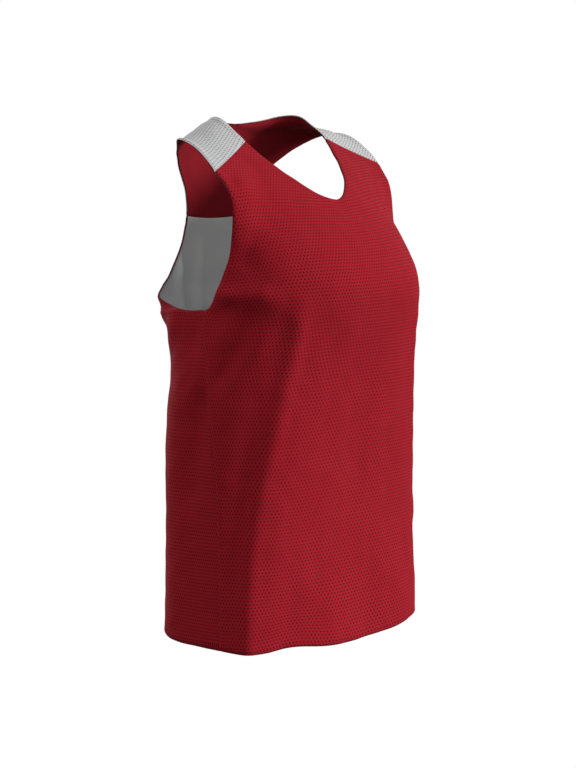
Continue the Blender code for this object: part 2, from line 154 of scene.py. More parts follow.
# Soft folds, from (aroundTop, zTop) to (aroundLow, zLow). around is 0 at the middle and
# 1 at the side seam, + on the wearer's left. push is out from the body (+) or in (-).
softFolds = {
    "columns": ("name", "panel", "aroundTop", "zTop", "aroundLow", "zLow", "width", "push"),
    "rows": (
        ("rightDrape", "front", -0.46, -0.25, -0.82, -0.63, 0.034, 0.0045),
        ("rightHollow", "front", -0.66, -0.26, -0.99, -0.58, 0.026, -0.0045),
        ("leftDrape", "front", 0.47, -0.26, 0.80, -0.63, 0.034, 0.0040),
        ("leftHollow", "front", 0.68, -0.28, 0.98, -0.56, 0.026, -0.0040),
        ("middleHollow", "front", -0.04, -0.24, 0.02, -0.45, 0.040, -0.0035),
        ("hem1", "front", -0.55, -0.50, -0.58, -0.66, 0.024, -0.0030),
        ("hem2", "front", -0.22, -0.53, -0.20, -0.66, 0.024, 0.0025),
        ("hem3", "front", 0.14, -0.50, 0.16, -0.66, 0.026, -0.0030),
        ("hem4", "front", 0.50, -0.54, 0.52, -0.66, 0.024, 0.0025),
        ("backRight", "back", -0.60, -0.27, -0.72, -0.60, 0.034, 0.0040),
        ("backRightLow", "back", -0.36, -0.42, -0.42, -0.66, 0.030, -0.0035),
        ("backMiddle", "back", 0.05, -0.20, 0.02, -0.50, 0.045, -0.0040),
        ("backLeft", "back", 0.58, -0.27, 0.74, -0.60, 0.034, 0.0040),
        ("backLeftLow", "back", 0.34, -0.45, 0.40, -0.66, 0.030, -0.0035),
        ("backSeat", "back", -0.04, -0.55, -0.02, -0.66, 0.034, 0.0025),
        ("leftStrap", "yoke", 0.20, 0.03, 0.24, -0.022, 0.060, -0.0080),
    ),
    "halfPanel": 0.20,       # metres that around 1 stands for
    "rise": 2.0,             # a fold is full after 1 / rise of its length,
    "fadeFrom": 0.8,         # and dies out past this share of it,
    "fade": 2.5,
    "edgeFadeFrom": 0.80,    # as all folds do towards the panel's own edge
    "edgeFade": 5.0,
}

# Where the hem rides up (+) or hangs lower (-): not at all above top, and fully from height
# below that.
hemWaves = {
    "columns": ("name", "panel", "around", "width", "lift"),
    "rows": (
        ("rightWave", "front", -0.52, 0.20, 0.0060),
        ("middleWave", "front", 0.03, 0.24, -0.0022),
        ("leftWave", "front", 0.62, 0.18, 0.0025),
        ("backRightWave", "back", -0.50, 0.22, 0.0030),
        ("backLeftWave", "back", 0.40, 0.26, -0.0020),
    ),
    "top": -0.56,
    "height": 0.06,
}

# Finer creases, in the flat cut: each path's points are metres from the panel's middle line,
# + on the wearer's left, and metres above the panel's foot. push is out (+) or in (-).
# The Inner panels' creases are on the inner ply alone.
creases = {
    "columns": ("name", "panel", "path", "width", "push"),
    "rows": (
        ("fallRidge", "front", ((-0.109, 0.408), (-0.111, 0.385), (-0.116, 0.355), (-0.123, 0.325),
                                (-0.132, 0.275), (-0.147, 0.210), (-0.155, 0.158), (-0.161, 0.114),
                                (-0.165, 0.060), (-0.165, -0.050)), 0.0120, 0.0048),
        ("fallHollow", "front", ((-0.136, 0.385), (-0.142, 0.340), (-0.152, 0.290), (-0.163, 0.240),
                                 (-0.176, 0.170)), 0.0200, -0.0006),
        ("bustRoll", "front", ((-0.200, 0.431), (-0.175, 0.429), (-0.152, 0.427), (-0.138, 0.423)),
         0.0120, 0.0054),
        ("bustUnder", "front", ((-0.205, 0.400), (-0.165, 0.398), (-0.132, 0.396)),
         0.0120, -0.0004),
        ("armpitDip", "front", ((-0.156, 0.490), (-0.160, 0.472), (-0.154, 0.456)),
         0.0125, -0.0036),
        ("armholeFlare", "front", ((-0.140, 0.575), (-0.150, 0.535), (-0.160, 0.506)),
         0.0170, 0.0050),
        ("armpitFlare", "front", ((-0.190, 0.446), (-0.196, 0.428)), 0.0140, 0.0036),
        ("sideTrough", "front", ((-0.166, 0.398), (-0.177, 0.370), (-0.189, 0.345),
                                 (-0.208, 0.318)), 0.0110, -0.0044),
        ("sideBand", "front", ((-0.150, 0.380), (-0.158, 0.345)), 0.0090, 0.0008),
        ("sideEdge", "front", ((-0.192, 0.392), (-0.203, 0.365)), 0.0080, 0.0018),
        ("bustSide", "front", ((-0.072, 0.398), (-0.066, 0.345)), 0.0150, -0.0014),
        ("belly", "front", ((-0.060, 0.270), (-0.050, 0.215)), 0.0160, -0.0010),
        ("hipHollow", "front", ((-0.066, 0.118), (-0.062, 0.066)), 0.0170, -0.0012),
        ("hipSpot", "front", ((-0.130, 0.190), (-0.133, 0.162)), 0.0120, 0.0012),
        ("leftFall", "front", ((0.112, 0.395), (0.120, 0.345), (0.134, 0.270), (0.150, 0.190),
                               (0.158, 0.120)), 0.0140, 0.0034),
        ("leftHollow", "front", ((0.142, 0.380), (0.153, 0.310), (0.170, 0.230)), 0.0150, -0.0030),
        ("leftBustRoll", "front", ((0.196, 0.420), (0.160, 0.424), (0.124, 0.414)), 0.0100, 0.0030),
        ("leftUnder", "front", ((0.198, 0.396), (0.158, 0.394)), 0.0110, -0.0026),
        ("leftDip", "front", ((0.158, 0.490), (0.148, 0.452)), 0.0140, -0.0030),
        ("leftTrough", "front", ((0.172, 0.385), (0.192, 0.330)), 0.0100, -0.0022),
        ("sideRun", "back", ((-0.240, 0.300), (-0.226, 0.245), (-0.214, 0.165)), 0.0170, -0.0052),
        ("sideRunBand", "back", ((-0.246, 0.350), (-0.232, 0.315), (-0.215, 0.280)),
         0.0100, 0.0024),
        ("sideSpot", "back", ((-0.222, 0.368), (-0.212, 0.338)), 0.0110, -0.0024),
        ("backSpot", "back", ((-0.196, 0.300), (-0.192, 0.262)), 0.0130, 0.0016),
        ("armDrag", "back", ((-0.176, 0.396), (-0.138, 0.362), (-0.098, 0.318)), 0.0130, -0.0026),
        ("armRoll", "back", ((-0.186, 0.372), (-0.150, 0.336)), 0.0110, 0.0018),
        ("leftArmDrag", "back", ((0.172, 0.392), (0.132, 0.352), (0.102, 0.302)), 0.0130, -0.0024),
        ("leftArmRoll", "back", ((0.190, 0.366), (0.156, 0.322)), 0.0110, 0.0018),
        ("leftRun", "back", ((0.232, 0.330), (0.216, 0.250), (0.206, 0.170)), 0.0130, -0.0026),
        ("sway", "back", ((-0.092, 0.292), (-0.020, 0.272), (0.072, 0.284)), 0.0170, -0.0018),
        ("seatDrape", "back", ((-0.100, 0.190), (-0.120, 0.080), (-0.124, -0.050)), 0.0160, 0.0024),
        ("leftSeatDrape", "back", ((0.088, 0.200), (0.112, 0.090), (0.116, -0.050)),
         0.0160, 0.0022),
        ("standingFold", "backInner", ((-0.087, 0.470), (-0.085, 0.395), (-0.080, 0.330)),
         0.0065, -0.0085),
        ("insideHollow", "backInner", ((-0.040, 0.470), (-0.050, 0.400), (-0.055, 0.340)),
         0.0100, -0.0060),
        ("leftStanding", "backInner", ((0.082, 0.450), (0.078, 0.370)), 0.0070, -0.0030),
        ("leftInside", "frontInner", ((0.090, 0.420), (0.104, 0.340)), 0.0090, -0.0026),
        ("rightInside", "frontInner", ((-0.086, 0.400), (-0.100, 0.330)), 0.0090, -0.0026),
    ),
    "taper": 0.030,          # metres over which a crease dies out at each end
    "seamFade": 0.010,       # metres over which creases die out before a sewn seam,
    "turnedFade": 0.014,     # and the inner ply's own ones before a turned edge
}


def rowsOf(table):
    return [dict(zip(table["columns"], row)) for row in table["rows"]]


def smoothstep(value):
    value = np.clip(value, 0.0, 1.0)
    return value * value * (3.0 - 2.0 * value)


def columnShares():
    # places across half a panel, 0 at its middle and 1 at its side
    near = np.array(garment["edgeSteps"]) / softFolds["halfPanel"]
    clear = near[-1] * garment["edgeClear"]
    even = np.linspace(0.0, 1.0, garment["fineSpans"] + 1)
    even = even[(even > clear) & (even < 1.0 - clear)]
    return np.concatenate((near, even, (1.0 - near)[::-1]))


shares = columnShares()
# and the same for the solids' own, wider columns
wideShares = np.append(np.linspace(0.0, garment["edgeShare"], garment["spans"]), 1.0)


def divided(line, places):
    # points on a line at the given shares of its length
    lengths = np.linalg.norm(np.diff(line, axis=0), axis=1)
    travelled = np.concatenate(([0.0], np.cumsum(lengths)))
    stops = places * travelled[-1]
    return np.stack([np.interp(stops, travelled, line[:, axis]) for axis in range(3)], axis=1)


def quarter(halfWidth, depth, roundness, turns):
    # a quarter of a rounded box's outline; roundness 2 is an ellipse, and more is squarer
    angle = turns * math.pi / 2
    return halfWidth * np.sin(angle) ** (2 / roundness), depth * np.cos(angle) ** (2 / roundness)


def turnAt(depth, roundness, y):
    return math.acos((y / depth) ** (roundness / 2)) / (math.pi / 2)


def ringLine(ring, facing):
    samples = garment["samples"]
    seamTurn = turnAt(ring["front"], ring["roundFront"], -ring["seamY"])
    if facing < 0:
        x, y = quarter(ring["halfWidth"], ring["front"], ring["roundFront"],
                       np.linspace(0.0, seamTurn, samples))
        lineX, lineY, zMiddle = x, -y, ring["zFront"]
    else:
        x, y = quarter(ring["halfWidth"], ring["back"], ring["roundBack"],
                       np.linspace(0.0, 1.0, samples))
        pastX, pastY = quarter(ring["halfWidth"], ring["front"], ring["roundFront"],
                               np.linspace(1.0, seamTurn, garment["sideSamples"])[1:])
        lineX, lineY = np.concatenate((x, pastX)), np.concatenate((y, -pastY))
        zMiddle = ring["zBack"]
    share = np.linspace(0.0, 1.0, len(lineX)) ** garment["lateBend"]
    return np.stack((lineX, lineY, zMiddle + (ring["zSide"] - zMiddle) * share), axis=1)


def crossLine(row, facing):
    reach = abs(row["edgeY"]) / row["depth"]
    halfWidth = row["edgeX"] / (1 - reach ** row["round"]) ** (1 / row["round"])
    lastTurn = turnAt(row["depth"], row["round"], abs(row["edgeY"]))
    turns = np.linspace(0.0, lastTurn, garment["samples"])
    x, y = quarter(halfWidth, row["depth"], row["round"], turns)
    share = np.linspace(0.0, 1.0, garment["samples"])
    share = smoothstep(share) if facing < 0 else share ** garment["lateBend"]
    z = row["zMiddle"] + (row["zEdge"] - row["zMiddle"]) * share
    return np.stack((x, facing * y, z), axis=1)


def strapLine(row):
    share = np.linspace(0.0, 1.0, garment["samples"])
    x = row["neckX"] + (row["armX"] - row["neckX"]) * share
    y = row["neckY"] + (row["armY"] - row["neckY"]) * share ** row["bow"]
    z = row["neckZ"] + (row["armZ"] - row["neckZ"]) * share ** (0.5 + 0.5 * row["bow"])
    return np.stack((x, y, z - 4.0 * row["sag"] * share * (1.0 - share)), axis=1)


def through(stops, values, wanted):
    # a smooth curve through values at stops, read at the wanted places
    shape = (-1,) + (1,) * (values.ndim - 1)
    spans = np.diff(stops).reshape(shape)
    slopes = np.diff(values, axis=0) / spans
    tangents = np.empty_like(values)
    tangents[0], tangents[-1] = slopes[0], slopes[-1]
    tangents[1:-1] = (slopes[:-1] * spans[1:] + slopes[1:] * spans[:-1]) / (spans[1:] + spans[:-1])
    index = np.clip(np.searchsorted(stops, wanted, side="right") - 1, 0, len(stops) - 2)
    span = spans[index]
    t = (wanted - stops[index]).reshape(shape) / span
    before, after = 2 * t**3 - 3 * t**2 + 1, 3 * t**2 - 2 * t**3
    return (before * values[index] + (t**3 - 2 * t**2 + t) * span * tangents[index]
            + after * values[index + 1] + (t**3 - t**2) * span * tangents[index + 1])


def clothLines():
    # half a garment's lines, from the front hem over the shoulder to the back hem
    rings = rowsOf(bodyRings)
    lines = {"front" + ring["name"]: ringLine(ring, -1) for ring in rings}
    lines.update((row["name"], crossLine(row, -1)) for row in rowsOf(chestLines))
    lines.update((row["name"], strapLine(row)) for row in rowsOf(strapLines))
    lines.update((row["name"], crossLine(row, 1)) for row in rowsOf(racerLines))
    lines.update(("back" + ring["name"], ringLine(ring, 1)) for ring in reversed(rings))
    return lines


def rowPlaces(lines):
    # where the solids' rows lie along the cloth, and which of them each line is
    wide = np.array([divided(line, wideShares) for line in lines.values()])
    lengths = np.linalg.norm(np.diff(wide, axis=0), axis=2).mean(axis=1)
    stops = np.concatenate(([0.0], np.cumsum(lengths)))
    parts = [max(1, round(length / garment["lineStep"])) for length in lengths]
    ringSpans = len(bodyRings["rows"]) - 1
    parts[-ringSpans:] = parts[ringSpans - 1::-1]
    wanted, rowAt = [], {}
    for index, name in enumerate(lines):
        rowAt[name] = len(wanted)
        if index < len(parts):
            start, end = stops[index:index + 2]
            wanted += list(np.linspace(start, end, parts[index], endpoint=False))
    return stops, np.array(wanted + [stops[-1]]), rowAt


def clothGrid(lines, places, stops, wanted, rowAt):
    grid = through(stops, np.array([divided(line, places) for line in lines.values()]), wanted)
    seamRows = rowAt["frontunderarm"] + 1
    grid[-seamRows:, -1] = grid[seamRows - 1::-1, -1]
    grid[:rowAt["neckFront"] + 1, 0, 0] = 0.0
    grid[rowAt["neckBack"]:, 0, 0] = 0.0
    return grid


def relaxed(grid, rowAt):
    # evens the front and the yoke from row to row, as the solids are evened
    kept = [0, rowAt["neckFront"], rowAt["frontSeam"], rowAt["neckBack"]]
    kept += range(rowAt["backSeam"], len(grid))
    neckEdge = slice(rowAt["neckFront"], rowAt["neckBack"] + 1)
    for _ in range(garment["relaxRounds"]):
        evened = grid.copy()
        evened[1:-1, :-2] = (grid[:-2, :-2] + 2 * grid[1:-1, :-2] + grid[2:, :-2]) / 4
        evened[kept] = grid[kept]
        evened[neckEdge, 0] = grid[neckEdge, 0]
        grid = evened
    return grid


def distances(points, axis):
    # metres travelled along a grid's rows (axis 1) or columns (axis 0)
    steps = np.linalg.norm(np.diff(points, axis=axis), axis=2)
    pad = [(0, 0), (0, 0)]
    pad[axis] = (1, 0)
    return np.pad(np.cumsum(steps, axis=axis), pad)


def flatCut(points, joined):
    # lays half a panel flat: springs keep the worn cloth's lengths, and the middle stays straight
    flat = np.stack((distances(points, 1), distances(points, 0)), axis=2)
    edgeSteps = np.linalg.norm(np.diff(points[:, 0, :2], axis=0), axis=1)
    shift = np.zeros(len(points))
    upward = range(1, len(points)) if joined[0] else range(len(points) - 2, -1, -1)
    for row in upward:
        before = row - 1 if joined[0] else row + 1
        if not joined[row]:
            shift[row] = shift[before] + edgeSteps[min(row, before)]
    flat[..., 0] += shift[:, None]
    links = [((slice(0, -1), slice(None)), (slice(1, None), slice(None))),
             ((slice(None), slice(0, -1)), (slice(None), slice(1, None))),
             ((slice(0, -1), slice(0, -1)), (slice(1, None), slice(1, None))),
             ((slice(0, -1), slice(1, None)), (slice(1, None), slice(0, -1)))]
    rests = [np.linalg.norm(points[a] - points[b], axis=2) for a, b in links]
    for _ in range(garment["flatRounds"]):
        move = np.zeros_like(flat)
        for (a, b), rest in zip(links, rests):
            gap = flat[b] - flat[a]
            long = np.linalg.norm(gap, axis=2)
            pull = gap * ((long - rest) / np.maximum(long, 1e-9))[..., None]
            move[a] += pull
            move[b] -= pull
        flat += move * garment["flatPull"]
        flat[joined, 0, 0] = 0.0
    return flat


def foldPush(points, around, panel):
    push = np.zeros(points.shape[:2])
    for fold in rowsOf(softFolds):
        if fold["panel"] == panel:
            down = (fold["zTop"] - points[..., 2]) / (fold["zTop"] - fold["zLow"])
            lean = fold["aroundLow"] - fold["aroundTop"]
            centre = fold["aroundTop"] + lean * np.clip(down, 0, 1)
            off = (around - centre) * softFolds["halfPanel"] / fold["width"]
            rising = smoothstep(down * softFolds["rise"])
            fading = smoothstep((down - softFolds["fadeFrom"]) * softFolds["fade"])
            push += fold["push"] * rising * (1.0 - fading) * np.exp(-off * off)
    return push


def hemLift(points, around, panel):
    lift = np.zeros(points.shape[:2])
    for wave in rowsOf(hemWaves):
        if wave["panel"] == panel:
            lift += wave["lift"] * np.exp(-((around - wave["around"]) / wave["width"]) ** 2)
    return lift * smoothstep((hemWaves["top"] - points[..., 2]) / hemWaves["height"])


def lineDistance(points, line):
    # each point's distance from a line of cloth, and how far along the line it lies
    starts, runs = line[:-1], np.diff(line, axis=0)
    lengths = np.linalg.norm(runs, axis=1)
    before = np.concatenate(([0.0], np.cumsum(lengths)[:-1]))
    flatPoints = points.reshape(-1, line.shape[1])
    best = np.full(len(flatPoints), np.inf)
    travelled = np.zeros(len(flatPoints))
    for start, run, length, past in zip(starts, runs, lengths, before):
        along = np.clip(((flatPoints - start) @ run) / (length * length), 0.0, 1.0)
        away = np.linalg.norm(flatPoints - start - along[:, None] * run, axis=1)
        nearer = away < best
        best[nearer] = away[nearer]
        travelled[nearer] = past + along[nearer] * length
    return best.reshape(points.shape[:2]), travelled.reshape(points.shape[:2])


def creasePush(flat, panel):
    push, taper = np.zeros(flat.shape[:2]), creases["taper"]
    for crease in rowsOf(creases):
        if crease["panel"] == panel:
            line = np.array(crease["path"])
            away, travelled = lineDistance(flat, line)
            length = np.linalg.norm(np.diff(line, axis=0), axis=1).sum()
            ends = (smoothstep((travelled + taper / 2) / taper)
                    * smoothstep((length - travelled + taper / 2) / taper))
            push += crease["push"] * ends * np.exp(-((away / crease["width"]) ** 2))
    return push


def outward(grid, rowAt):
    # unit normals of the solids' half grid, shared by both panels along the side seam
    across = np.gradient(grid, axis=1)
    onMiddle = np.r_[0:rowAt["neckFront"], rowAt["neckBack"] + 1:len(grid)]
    across[onMiddle, 0] = (1.0, 0.0, 0.0)
    normal = np.cross(across, np.gradient(grid, axis=0))
    normal /= np.linalg.norm(normal, axis=2, keepdims=True)
    seamRows = rowAt["frontunderarm"] + 1
    shared = normal[:seamRows, -1] + normal[::-1][:seamRows, -1]
    shared /= np.linalg.norm(shared, axis=1, keepdims=True)
    normal[:seamRows, -1] = shared
    normal[len(grid) - seamRows:, -1] = shared[::-1]
    return normal


def finer(values):
    # from the solids' columns to the cloth's own
    return through(wideShares, values.swapaxes(0, 1), shares).swapaxes(0, 1)


print("cut laid out")

# How each kind of edge is finished. band is the raised strip over the turning's own
# layers, roll is how far the last stretch curls in, and hollow is a sewn seam's groove.
# Puckers stand puckerStep apart along a seam, drifting a little; wave is a whole turn.
edges = {
    "turned": {"band": 0.00028, "bandAt": 0.0042, "bandWidth": 0.0030,
               "tuck": 0.00025, "tuckOver": 0.0011},
    "hem": {"roll": 0.0030, "rollOver": 0.0070},
    "armhole": {"roll": 0.0011, "rollOver": 0.0048},
    "neck": {"roll": 0.0009, "rollOver": 0.0042},
    "neckEase": 0.12,        # share of half a panel over which the neckline's level bottom fades
    "shy": 0.0009,           # how far the inner ply's turned edge stops short of the outer one's,
    "shyOver": 0.0036,
    "shyEase": 0.020,        # but level with it at the middle of the neck
    "sewn": {"hollow": 0.00042, "hollowWidth": 0.0013, "bank": 0.00022, "bankAt": 0.0040,
             "bankWidth": 0.0026, "pucker": 0.00020, "puckerFrom": 0.003, "puckerOver": 0.0110,
             "puckerStep": 0.0135, "wave": 6.283, "drift": 1.9, "driftPerMetre": 83.0},
    # the cloth is never quite even: waves across and up it, each swayed by the other
    "slack": {"push": 0.00045, "across": 0.061, "up": 0.083, "wave": 6.3,
              "swayAcross": 2.1, "swaysUp": 5.1, "swayUp": 1.7, "swaysAcross": 4.3},
}
edges["backHem"] = edges["hem"]


def fineStops(first, last, neckStop):
    # rows of the finished cloth: even, and closer beside the panel's two end edges and where
    # the neckline crosses the middle
    near = np.array(garment["edgeSteps"])
    clear = near[-1] * garment["edgeClear"]
    count = round((last - first) / garment["fineStep"])
    even = np.linspace(first, last, count + 1)
    even = even[(even > first + clear) & (even < last - clear)]
    if neckStop is not None:
        even = even[abs(even - neckStop) > clear]
        even = np.sort(np.concatenate((even, neckStop - near[1:], neckStop + near)))
    return np.concatenate((first + near, even, (last - near)[::-1]))


def bump(distance, at, width):
    return np.exp(-((distance - at) / width) ** 2)


def curl(distance, over):
    return np.clip(1.0 - distance / over, 0.0, 1.0) ** 2


def within(wanted, start, end):
    return (wanted >= start - 1e-9) & (wanted <= end + 1e-9)


print("edges described")

# Each panel's stretch of the cloth, from line to line, and which edges it has.
panels = {
    "front": {"rows": ("fronthem", "frontSeam"), "joined": ("fronthem", "neckFront"),
              "sideSeam": ("fronthem", "frontunderarm"), "armhole": ("frontunderarm", "frontSeam"),
              "neck": ("neckFront", "frontSeam"), "neckMiddle": "neckFront", "sewnEnds": (-1,),
              "hem": "hem", "foot": 0},
    "yoke": {"rows": ("frontSeam", "backSeam"), "joined": ("neckBack", "backSeam"),
             "sideSeam": None, "armhole": ("frontSeam", "backSeam"),
             "neck": ("frontSeam", "neckBack"), "neckMiddle": "neckBack", "sewnEnds": (0, -1),
             "hem": None, "foot": 0},
    "back": {"rows": ("backSeam", "backhem"), "joined": ("backSeam", "backhem"),
             "sideSeam": ("backunderarm", "backhem"), "armhole": ("backSeam", "backunderarm"),
             "neck": None, "neckMiddle": None, "sewnEnds": (0,), "hem": "backHem", "foot": -1},
}

middleFade = 1.0 - smoothstep(shares / edges["neckEase"])


def wholeCloth():
    # the worn form of half the garment at the finished columns, with what its rows are
    lines = clothLines()
    stops, wanted, rowAt = rowPlaces(lines)
    wide = clothGrid(lines, wideShares, stops, wanted, rowAt)
    evened = relaxed(wide, rowAt)
    change = evened - wide
    moved = np.stack([np.stack([np.interp(shares, wideShares, row[:, axis]) for row in change])
                      for axis in range(3)], axis=2)
    grid = clothGrid(lines, shares, stops, wanted, rowAt) + moved
    seamRow = rowAt["backSeam"]
    beyond = abs(wanted - wanted[seamRow])[:, None] / garment["sagReach"]
    grid[..., 2] -= garment["seamSag"] * (1.0 - smoothstep(beyond)) * (1.0 - shares**2)
    return {"grid": grid, "normal": finer(outward(evened, rowAt)), "evened": evened,
            "rowAt": rowAt, "stops": wanted}


def roundedNeck(cloth, wanted, points):
    # the neckline meets the middle line level, front and back, instead of in a point
    stops, line, rowAt = cloth["stops"], cloth["grid"][:, 0], cloth["rowAt"]
    first, last = rowAt["neckFront"], rowAt["neckBack"]
    flip = np.array((-1.0, 1.0, 1.0))
    neckStops = np.concatenate(([2 * stops[first] - stops[first + 1]], stops[first:last + 1],
                                [2 * stops[last] - stops[last - 1]]))
    neckLine = np.concatenate(([line[first + 1] * flip], line[first:last + 1],
                               [line[last - 1] * flip]))
    runs = ((wanted <= stops[first], stops[:first + 1], line[:first + 1]),
            ((wanted > stops[first]) & (wanted < stops[last]), neckStops, neckLine),
            (wanted >= stops[last], stops[last:], line[last:]))
    for inRun, runStops, runLine in runs:
        if inRun.any():
            shift = through(runStops, runLine, wanted[inRun]) - points[inRun, 0]
            points[inRun] += shift[:, None] * middleFade[None, :, None]


def finePanel(cloth, plan):
    # half a panel at its finished fineness: points, normals, flat cut and named rows
    stops, rowAt = cloth["stops"], cloth["rowAt"]
    first, last = (rowAt[name] for name in plan["rows"])
    neckStop = stops[rowAt[plan["neckMiddle"]]] if plan["neckMiddle"] else None
    wanted = fineStops(stops[first], stops[last], neckStop)
    points = through(stops, cloth["grid"], wanted)
    normals = through(stops, cloth["normal"], wanted)
    normals /= np.linalg.norm(normals, axis=2, keepdims=True)
    joinedFrom, joinedTo = (rowAt[name] for name in plan["joined"])
    inJoined = [joinedFrom <= row <= joinedTo for row in range(first, last + 1)]
    flat = finer(flatCut(cloth["evened"][first:last + 1], np.array(inJoined)))
    flat = through(stops[first:last + 1], flat, wanted)
    flat[..., 1] = abs(flat[..., 1] - flat[plan["foot"], 0, 1])
    joined = within(wanted, stops[joinedFrom], stops[joinedTo])
    roundedNeck(cloth, wanted, points)
    flat[joined, :, 0] -= flat[joined, :1, 0] * middleFade
    points[joined, 0, 0] = 0.0
    normals[joined, 0, 0] = 0.0
    rowsIn = {name: within(wanted, *(stops[rowAt[end]] for end in plan[name]))
              for name in ("sideSeam", "armhole", "neck") if plan[name]}
    return {"points": points, "normals": normals, "flat": flat, "joined": joined, "rowsIn": rowsIn}


def edgeLines(half, plan):
    # the lines of cloth along half a panel's sewn and turned edges
    points, rowsIn = half["points"], half["rowsIn"]
    sewn = [points[end] for end in plan["sewnEnds"]]
    if "sideSeam" in rowsIn:
        sewn.append(points[rowsIn["sideSeam"], -1])
    turned = {"armhole": points[rowsIn["armhole"], -1]}
    if "neck" in rowsIn:
        turned["neck"] = points[rowsIn["neck"], 0]
    if plan["hem"]:
        turned[plan["hem"]] = points[-1 if plan["hem"] == "backHem" else 0]
    return sewn, turned


def towardsMiddle(points, edge):
    # one way into the panel from a turned edge, for each row or column of it
    faces = garment["inwardFaces"]
    if edge in ("armhole", "neck"):
        here, there = (-1, -1 - faces) if edge == "armhole" else (0, faces)
        inward = (points[:, there] - points[:, here])[:, None]
    else:
        here, there = (-1, -1 - faces) if edge == "backHem" else (0, faces)
        inward = (points[there] - points[here])[None]
    return inward / np.linalg.norm(inward, axis=2, keepdims=True)


def nearestSeam(sewn, shape):
    away, along = np.full(shape, np.inf), np.zeros(shape)
    for seamAway, seamAlong in sewn:
        nearer = seamAway < away
        away, along = np.where(nearer, seamAway, away), np.where(nearer, seamAlong, along)
    return away, along


def slackWave(flat):
    slack = edges["slack"]
    x, y = flat[..., 0] / slack["across"], flat[..., 1] / slack["up"]
    across = x * slack["wave"] + slack["swayAcross"] * np.sin(y * slack["swaysUp"])
    up = y * slack["wave"] + slack["swayUp"] * np.cos(x * slack["swaysAcross"])
    return np.sin(across) * np.sin(up)


def seamSkin(away, along, side):
    # a sewn seam's groove, the banks beside it and the puckers that die out from it
    sewn = edges["sewn"]
    drift = sewn["drift"] * np.sin(along * sewn["driftPerMetre"])
    pucker = np.sin(along / sewn["puckerStep"] * sewn["wave"] + drift + side)
    return (-sewn["hollow"] * bump(away, 0.0, sewn["hollowWidth"])
            + sewn["bank"] * bump(away, sewn["bankAt"], sewn["bankWidth"])
            + sewn["pucker"] * pucker * np.exp(-away / sewn["puckerOver"])
            * smoothstep(away / sewn["puckerFrom"]))


def dressedSide(half, plan, panel, side):
    # one side of a panel with its folds, creases, seams and turned edges, as two plies;
    # side +1 is the wearer's left
    mirror = np.array((side, 1.0, 1.0))
    around = side * np.broadcast_to(shares, half["points"].shape[:2])
    flat = half["flat"] * np.array((side, 1.0))
    points, normals = half["points"] * mirror, half["normals"] * mirror
    edgeFade = 1.0 - smoothstep((abs(around) - softFolds["edgeFadeFrom"]) * softFolds["edgeFade"])
    lift = hemLift(points, around, panel) * edgeFade
    push = foldPush(points, around, panel) * edgeFade

    sewnAway, sewnAlong = nearestSeam(half["sewn"], around.shape)
    turnedAway = np.min([away for away, _ in half["turned"].values()], axis=0)
    seamFade = smoothstep(sewnAway / creases["seamFade"])
    push += creasePush(flat, panel) * seamFade
    push += edges["slack"]["push"] * seamFade * slackWave(flat)
    for name, (away, _) in half["turned"].items():
        push -= edges[name]["roll"] * curl(away, edges[name]["rollOver"])
    points = points + normals * push[..., None]
    points[..., 2] += lift

    turned = edges["turned"]
    skin = (seamSkin(sewnAway, sewnAlong, side)
            + turned["band"] * bump(turnedAway, turned["bandAt"], turned["bandWidth"]))
    outerSkin = skin - turned["tuck"] * curl(turnedAway, turned["tuckOver"])
    innerFade = seamFade * smoothstep(turnedAway / creases["turnedFade"])
    inset = garment["wall"] + garment["plyGap"] - creasePush(flat, panel + "Inner") * innerFade
    plies = {"outer": points + normals * outerSkin[..., None],
             "inner": points + normals * (-skin - inset)[..., None]}
    for name, (away, _) in half["turned"].items():
        shy = edges["shy"] * curl(away, edges["shyOver"])
        if name == "neck":
            shy = shy * smoothstep(abs(points[..., 0]) / edges["shyEase"])
        plies["inner"] += shy[..., None] * towardsMiddle(points, name)
    return dict(plies, flat=flat, sewnAway=sewnAway, turnedAway=turnedAway)


def clothMesh(name, sides, joined, ply):
    # one ply of a panel as an open sheet of quads, with its flat cut as UVs
    rows, columns = sides[1][ply].shape[:2]
    count = rows * columns
    index = {1: np.arange(count).reshape(rows, columns)}
    index[-1] = index[1] + count
    index[-1][joined, 0] = index[1][joined, 0]
    corners = []
    for side in (1, -1):
        grid = index[side]
        fourCorners = (grid[:-1, :-1], grid[:-1, 1:], grid[1:, 1:], grid[1:, :-1])
        quads = np.stack(fourCorners, axis=2).reshape(-1, 4)
        corners.append(quads if side > 0 else quads[:, ::-1])
    corners = np.concatenate(corners)
    points = np.concatenate([sides[side][ply].reshape(-1, 3) for side in (1, -1)])
    points -= np.array(garment["shoulder"])
    both = {key: np.concatenate([sides[side][key].reshape(count, -1) for side in (1, -1)])
            for key in ("flat", "sewnAway", "turnedAway")}
    used, corners = np.unique(corners, return_inverse=True)
    corners = corners.reshape(-1, 4)
    mesh = bpy.data.meshes.new(name)
    mesh.from_pydata(points[used].tolist(), [], corners.tolist())
    layer = mesh.uv_layers.new(name="cut")
    layer.data.foreach_set("uv", both["flat"][used][corners.ravel()].astype(np.float32).ravel())
    for key in ("sewnAway", "turnedAway"):
        attribute = mesh.attributes.new(key, "FLOAT", "POINT")
        attribute.data.foreach_set("value", both[key][used, 0].astype(np.float32))
    mesh.shade_smooth()
    return mesh


def flatSize(sides):
    # how wide and high the flat panel is, and its area
    wholeRows = np.concatenate((sides[1]["flat"][..., 0], sides[-1]["flat"][..., 0]), axis=1)
    across = np.ptp(wholeRows, axis=1).max()
    up = np.ptp(sides[1]["flat"][..., 1])
    area = 0.0
    for side in sides.values():
        flat = side["flat"]
        a, b = flat[1:, 1:] - flat[:-1, :-1], flat[1:, :-1] - flat[:-1, 1:]
        area += abs(a[..., 0] * b[..., 1] - a[..., 1] * b[..., 0]).sum() / 2
    return (float(across), float(up)), float(area)


